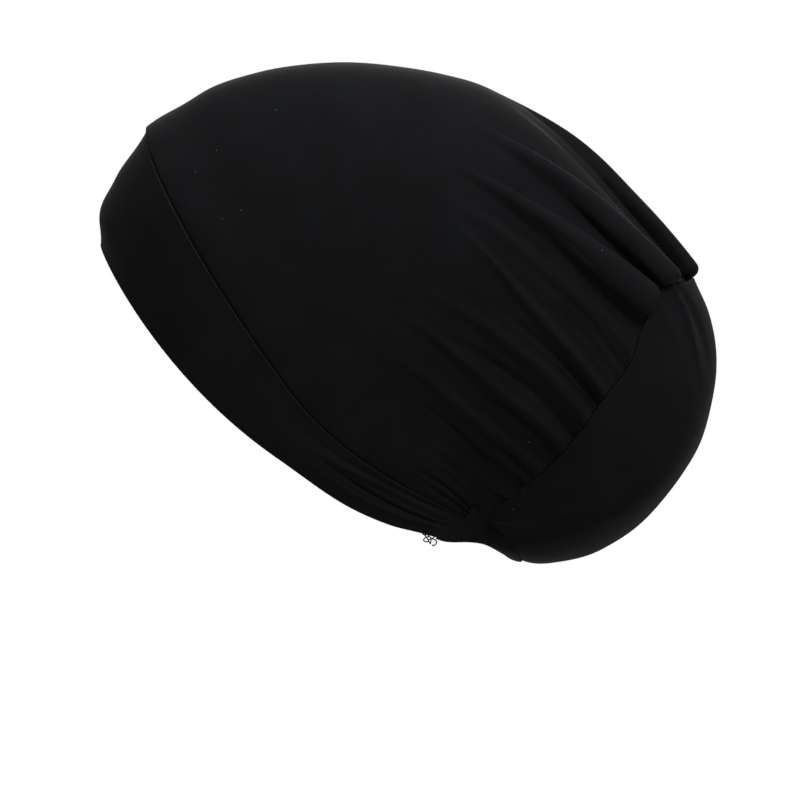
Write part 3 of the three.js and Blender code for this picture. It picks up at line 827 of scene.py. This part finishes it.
# Back panel: one layer of jersey cut as a rounded bag, which hangs full. Its upper edge goes
# under the pleats, it swells below the middle pleat, and a soft drag line falls from the end of
# the upper pleat.
BACK_COLUMNS = 301
BACK_FRONT_LINES = (0.2, 1.4, 12)
BACK_NAPE_LINES = (0.3, 1.4, 6)
BACK_MIDDLE_LINES = 88
BACK_FULL_WIDTH = 60
BACK_RADIUS = 1.0
STREAK_COLUMNS = ("from_t", "bend", "to_t", "half", "height")
BACK_STREAKS = {
    "streak": (0.245, 0.01, 0.262, 0.017, 1.9),
    "streak_shade": (0.197, 0.01, 0.2, 0.034, -2.2),
    "under_lower_pleat": (0.31, 0.01, 0.33, 0.03, 1.0),
}
STREAK_END = 12.0
STREAK_START = 0.6
CREST_BULGE = 3.0
CREST_HALF = 0.2
CREST_FADE = 10


def back_streaks(s, t):
    """Height of the drag lines below the pleats, which widen and fade out down the bag."""
    height = np.zeros_like(s)
    for row in BACK_STREAKS.values():
        fold = dict(zip(STREAK_COLUMNS, row))
        q = np.clip((s - BACK_SEAM) / (STREAK_END - BACK_SEAM), 0, 1)
        centre = bent_line(fold["from_t"], fold["to_t"], fold["bend"], q)
        across = (t - centre) / (fold["half"] * (STREAK_START + q))
        height += fold["height"] * bump(across) * (1 - smooth(q))
    return height


back_places = panel_places(
    BACK_SEAM, NAPE_SEAM, even_shares(BACK_COLUMNS), front=BACK_FRONT_LINES, back=BACK_NAPE_LINES,
    middle=BACK_MIDDLE_LINES, full_width=BACK_FULL_WIDTH)
back_s, back_t, back_front = back_places["s"], back_places["t"], back_places["from_front"]
back_side = np.abs(back_t)
back_rise = round_end(back_front, BACK_RADIUS * back_places["fullness"])
back_height = back_streaks(back_s, back_side) * back_rise
crest_bulge = CREST_BULGE * bump(back_side / CREST_HALF) * np.exp(-back_front / CREST_FADE)
back_height += crest_bulge * back_rise
back_height += slack(on_form(form_points, back_s, back_t)) * back_rise
back_height -= seam_depth(back_t) * (1 - back_rise)
back_outer = place_points(back_places, back_height)
back_inner = cloth_inside(back_outer, CLOTH_WALL)
back_panel = cloth_piece("back_cloth", back_outer, back_inner, black_jersey)
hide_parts("back_panel")
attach(back_panel, "root")


# Nape casing: a short tube of jersey over a narrow elastic, which pulls the ends of the band
# together under the bag. It lies smooth, swells a little where it turns under the bag, and has a
# small roll at each side, where the band and the bag meet.
NAPE_EDGE = (
    (50, 44.6, -211.4), (47.3, 49, -212.9), (41, 57.9, -213.2), (34.5, 64.6, -214.5),
    (18, 71.6, -218.4), (0, 75.2, -221.1))
EDGE_ARC_POINTS = 40
CASING_COLUMNS = 201
CASING_ROWS = 21
CASING_WALL = 1.6
END_WALL = 2.6
END_LENGTH = 7.0
END_SHARE = 0.3
BAG_EDGE = 41.5
DOWNWARD = 1.2
DOWNWARD_OVER = 12
CASING_SWELL = 0.5
BAG_SWELL = 1.5
SWELL_OVER = 8
SWELL_DEPTH = 1.02
HEM_POINTS = 40
HEM_SECTION = 17.0
HEM_SHARE = 0.016
HEM_TURN = 4
HEM_HEIGHT = 0.25
RIPPLE_PITCH = 2.9
RIPPLE_HEIGHT = 0.05
ROLL_PLACE = 39.5
ROLL_HALF = 2.4
ROLL_HEIGHT = 0.9


def curve_through(points, count):
    """A smooth line through points, at even steps."""
    points = np.array(points, float)
    ends = np.vstack([2 * points[0] - points[1], points, 2 * points[-1] - points[-2]])
    f = np.linspace(0, 1, EDGE_ARC_POINTS)[:, None]
    arcs = [rounded_line(*corners, f) for corners in zip(ends, ends[1:], ends[2:], ends[3:])]
    return even_points(np.vstack(arcs), count)


def both_sides(left_half):
    """A line from the right end to the left end, from its left half that ends in the middle."""
    right = left_half * (-1, 1, 1)
    return np.vstack([right, left_half[-2::-1]])


hem_s = np.linspace(BAND_SEAM, HEM_SECTION, HEM_POINTS)
hem_side = {"s": hem_s, "t": 1 - HEM_SHARE * fade_in(hem_s, BAND_SEAM, HEM_TURN)}
hem_back = {"s": np.full(HEM_POINTS, HEM_SECTION), "t": np.linspace(1 - HEM_SHARE, 0, HEM_POINTS)}
hem_line = [place_points(hem, np.full(HEM_POINTS, HEM_HEIGHT)) for hem in (hem_side, hem_back)]
upper_edge = both_sides(even_points(np.vstack([hem_line[0], hem_line[1][1:]]), CASING_COLUMNS))
lower_edge = both_sides(curve_through(NAPE_EDGE, CASING_COLUMNS))
place_across = np.abs(lower_edge[:, 0])
tangent = np.gradient(lower_edge, axis=0)
outward = np.stack([-tangent[:, 1], tangent[:, 0], np.zeros(len(tangent))], -1)
outward /= np.linalg.norm(outward, axis=1, keepdims=True)
outward[:, 2] = -DOWNWARD * smooth((BAG_EDGE - place_across) / DOWNWARD_OVER)
outward /= np.linalg.norm(outward, axis=1, keepdims=True)
edge_steps = np.linalg.norm(np.diff(lower_edge, axis=0), axis=1)
length_round = np.concatenate([[0], np.cumsum(edge_steps)])
from_end = np.minimum(length_round, length_round[-1] - length_round)
depth = np.linspace(0, 1, CASING_ROWS)[:, None]
under_bag = smooth((BAG_EDGE - place_across) / SWELL_OVER)
swell = CASING_SWELL + (BAG_SWELL - CASING_SWELL) * under_bag
swell = swell * np.sin(np.pi * np.clip(depth * SWELL_DEPTH, 0, 1)) ** 0.5
phase = 2 * np.pi * length_round / RIPPLE_PITCH + 1.1 * np.sin(0.31 * length_round)
ripples = RIPPLE_HEIGHT * (np.sin(phase + 1.5 * depth) + 0.4 * np.sin(2.3 * phase + 4 * depth))
roll = ROLL_HEIGHT * peak(place_across, ROLL_PLACE, ROLL_HALF) * np.sin(np.pi * depth)
casing_out = (swell + ripples + roll) * (END_SHARE + (1 - END_SHARE) * smooth(from_end / END_LENGTH))
casing_outer = upper_edge + (lower_edge - upper_edge) * depth[..., None]
casing_outer = casing_outer + outward * casing_out[..., None]
casing_wall = CASING_WALL + END_WALL * bump(from_end / END_LENGTH)
casing_inner = casing_outer - casing_wall[:, None] * outward
nape_casing = cloth_piece("nape_casing_cloth", casing_outer, casing_inner[::2, ::2], black_jersey)
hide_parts("nape_casing")
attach(nape_casing, "root")


# Seam stitches: a row of black polyester thread beside each outer seam, where it pulls the cloth
# down, drawn as single stitches. The real thread is about 0.25 mm thick, and is drawn thicker,
# because a finer one is lost in the picture. It is a little glossier than the cloth.
THREAD_BLACK = "#080809"
THREAD_WORN = "#141416"
TWISTS = 2500.0
TWIST_DEPTH = 0.1
STITCH_SETTINGS = (
    ("Line", "NodeSocketGeometry"), ("Pitch", "NodeSocketFloat"), ("Length", "NodeSocketFloat"),
    ("Thickness", "NodeSocketFloat"), ("Jitter", "NodeSocketFloat"), ("Seed", "NodeSocketInt"))
SEAM_STITCH = {"Pitch": 2.2, "Length": 1.5, "Thickness": 0.36, "Jitter": 0.08}
BAND_STITCH_ROW = -4
BACK_STITCH_ROW = 3
STITCH_MARGIN = 8

thread = bpy.data.materials.new("black_polyester_thread")
thread.use_nodes = True
twist_place = add_node(thread.node_tree, "ShaderNodeTexCoord").outputs["Object"]
twist = add_node(thread.node_tree, "ShaderNodeTexNoise", inputs={
    "Vector": twist_place, "Scale": TWISTS, "Detail": 2.0}).outputs["Fac"]
thread_colour = add_node(thread.node_tree, "ShaderNodeMix", {"data_type": "RGBA"}, {
    "Factor": twist, 6: (*linear(THREAD_BLACK), 1), 7: (*linear(THREAD_WORN), 1)}).outputs[2]
twist_relief = add_node(thread.node_tree, "ShaderNodeBump", inputs={
    "Height": twist, "Strength": 0.4, "Distance": TWIST_DEPTH * MM}).outputs["Normal"]
thread_skin = thread.node_tree.nodes["Principled BSDF"]
thread.node_tree.links.new(thread_colour, thread_skin.inputs["Base Color"])
thread.node_tree.links.new(twist_relief, thread_skin.inputs["Normal"])
thread_skin.inputs["Roughness"].default_value = 0.55
thread_skin.inputs["Specular IOR Level"].default_value = 0.08

stitches = bpy.data.node_groups.new("stitches", "GeometryNodeTree")
stitch_sockets = {}
for socket_name, socket_kind in STITCH_SETTINGS:
    socket = stitches.interface.new_socket(socket_name, in_out="INPUT", socket_type=socket_kind)
    stitch_sockets[socket_name] = socket.identifier
stitches.interface.new_socket("Stitches", in_out="OUTPUT", socket_type="NodeSocketGeometry")
given = add_node(stitches, "NodeGroupInput").outputs
seam_curve = add_node(stitches, "GeometryNodeMeshToCurve", inputs={"Mesh": given["Line"]}).outputs[0]
spaced = add_node(stitches, "GeometryNodeResampleCurve", {"mode": "LENGTH"}, {
    "Curve": seam_curve, "Length": given["Pitch"]}).outputs[0]
lie = add_node(stitches, "GeometryNodeInputNamedAttribute", {"data_type": "FLOAT_VECTOR"}, {
    "Name": "lie"}).outputs["Attribute"]
lying = add_node(stitches, "FunctionNodeAlignRotationToVector", {"axis": "Z"}, {
    "Vector": lie}).outputs["Rotation"]
stray = add_node(stitches, "FunctionNodeRandomValue", {"data_type": "FLOAT_VECTOR"}, {
    "Min": (-1, -1, -1), "Max": (1, 1, 1), "Seed": given["Seed"]}).outputs["Value"]
turned = add_node(stitches, "ShaderNodeVectorMath", {"operation": "SCALE"}, {
    0: stray, "Scale": given["Jitter"]}).outputs["Vector"]
rotation = add_node(stitches, "FunctionNodeRotateRotation", inputs={
    "Rotation": lying, "Rotate By": turned}).outputs["Rotation"]
one_stitch = add_node(stitches, "GeometryNodeMeshUVSphere", inputs={
    "Segments": 6, "Rings": 5, "Radius": 0.5}).outputs["Mesh"]
stitch_size = add_node(stitches, "ShaderNodeCombineXYZ", inputs={
    "X": given["Thickness"], "Y": given["Thickness"], "Z": given["Length"]}).outputs["Vector"]
placed = add_node(stitches, "GeometryNodeInstanceOnPoints", inputs={
    "Points": spaced, "Instance": one_stitch, "Rotation": rotation, "Scale": stitch_size}).outputs[0]
real = add_node(stitches, "GeometryNodeRealizeInstances", inputs={"Geometry": placed}).outputs[0]
threaded = add_node(stitches, "GeometryNodeSetMaterial", inputs={
    "Geometry": real, "Material": thread}).outputs[0]
add_node(stitches, "NodeGroupOutput", inputs={"Stitches": threaded})


def stitch_row(name, line, direction, sizes, seed):
    """A row of stitches along a line of points, each lying in its own direction. Sizes are in
    millimetres, and the jitter in radians."""
    mesh = bpy.data.meshes.new(name)
    mesh.from_pydata((line * MM).tolist(), [(k, k + 1) for k in range(len(line) - 1)], [])
    mesh.attributes.new("lie", "FLOAT_VECTOR", "POINT").data.foreach_set("vector", direction.ravel())
    made = bpy.data.objects.new(name, mesh)
    bpy.context.scene.collection.objects.link(made)
    modifier = made.modifiers.new("stitches", "NODES")
    modifier.node_group = stitches
    for key in ("Pitch", "Length", "Thickness"):
        modifier[stitch_sockets[key]] = sizes[key] * MM
    modifier[stitch_sockets["Jitter"]] = sizes["Jitter"]
    modifier[stitch_sockets["Seed"]] = seed
    evaluated = made.evaluated_get(bpy.context.evaluated_depsgraph_get())
    plain = bpy.data.meshes.new_from_object(evaluated)
    made.modifiers.clear()
    made.data = plain
    made.data.shade_smooth()
    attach(made, "root")
    return made


band_line = band_outer[BAND_STITCH_ROW, STITCH_MARGIN:-STITCH_MARGIN]
back_line = back_outer[BACK_STITCH_ROW, STITCH_MARGIN:-STITCH_MARGIN]
band_stitches = stitch_row(
    "band_seam_stitches", band_line, np.gradient(band_line, axis=0), SEAM_STITCH, seed=21)
back_stitches = stitch_row(
    "back_seam_stitches", back_line, np.gradient(back_line, axis=0), SEAM_STITCH, seed=22)


# Seam allowances: inside the wrap, the raw edges of each seam lie pressed to one side in a narrow
# strip three layers thick, against the crown and against the bag. Overlocking covers their edge.
ALLOWANCE_GAP = 0.25
ALLOWANCE_WALL = 1.2
CROWN_ALLOWANCE_ROWS = (2, 11)
CROWN_OVERLOCK_ROW = 8
BACK_ALLOWANCE_ROWS = (3, 12)
BACK_OVERLOCK_ROW = 9
OVERLOCK_STITCH = {"Pitch": 1.9, "Length": 3.4, "Thickness": 0.3, "Jitter": 0.1}
OVERLOCK_SLANT = 0.35
OVERLOCK_GAP = 0.1
OVERLOCK_MARGIN = 24


def seam_allowance(name, outer, rows):
    """A strip of cloth against the inside of a panel, under some rows of its outer points."""
    facing = surface_normals(outer)[slice(*rows)]
    upper_side = outer[slice(*rows)] - (CLOTH_WALL + ALLOWANCE_GAP) * facing
    lower_side = (upper_side - ALLOWANCE_WALL * facing)[::2, ::2]
    made = cloth_piece(name, upper_side, lower_side, black_jersey)
    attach(made, "root")
    return made


def overlocking(name, outer, row, seed):
    """Slanted stitches over the free edge of an allowance that ends just past a row of points."""
    below = CLOTH_WALL + ALLOWANCE_GAP + ALLOWANCE_WALL + OVERLOCK_GAP
    line = outer[row] - below * surface_normals(outer)[row]
    across_edge = outer[row + 1] - outer[row - 1]
    across_edge /= np.linalg.norm(across_edge, axis=1, keepdims=True)
    along_edge = np.gradient(line, axis=0)
    along_edge /= np.linalg.norm(along_edge, axis=1, keepdims=True)
    direction = across_edge + OVERLOCK_SLANT * along_edge
    sewn = slice(OVERLOCK_MARGIN, -OVERLOCK_MARGIN)
    return stitch_row(name, line[sewn], direction[sewn], OVERLOCK_STITCH, seed)


crown_allowance = seam_allowance("band_seam_allowance", crown_outer, CROWN_ALLOWANCE_ROWS)
crown_overlock = overlocking("band_seam_overlock", crown_outer, CROWN_OVERLOCK_ROW, seed=23)
back_allowance = seam_allowance("back_seam_allowance", back_outer, BACK_ALLOWANCE_ROWS)
back_overlock = overlocking("back_seam_overlock", back_outer, BACK_OVERLOCK_ROW, seed=24)


# Thread ends: a loose end of black thread, left uncut, hangs in small curls from the seam where
# the band meets the casing, at each side of the nape. It is drawn as short overlapping pieces.
LOOSE_END = {"Pitch": 0.45, "Length": 1.1, "Thickness": 0.6, "Jitter": 0.12}
THREAD_FROM = (50.2, 37.6, -209.6)
THREAD_RUN = (0.2, 4.6, -2.2)
THREAD_CURLS = 2.6
CURL_SIZE = (0.5, 1.1, 1.3)
CURL_POINTS = 90
THREAD_SIDES = {"left": (1, 25), "right": (-1, 26)}

along_thread = np.linspace(0, 1, CURL_POINTS)[:, None]
turn = 2 * np.pi * THREAD_CURLS * along_thread
curl = np.hstack([np.sin(0.7 * turn), np.sin(turn) - 0.4 * np.sin(1.7 * turn), np.cos(turn) - 1])
left_end = THREAD_FROM + THREAD_RUN * along_thread + CURL_SIZE * curl
for side_name, (side_sign, side_seed) in THREAD_SIDES.items():
    one_end = left_end * (side_sign, 1, 1)
    stitch_row(
        "thread_ends_" + side_name, one_end, np.gradient(one_end, axis=0), LOOSE_END, side_seed)
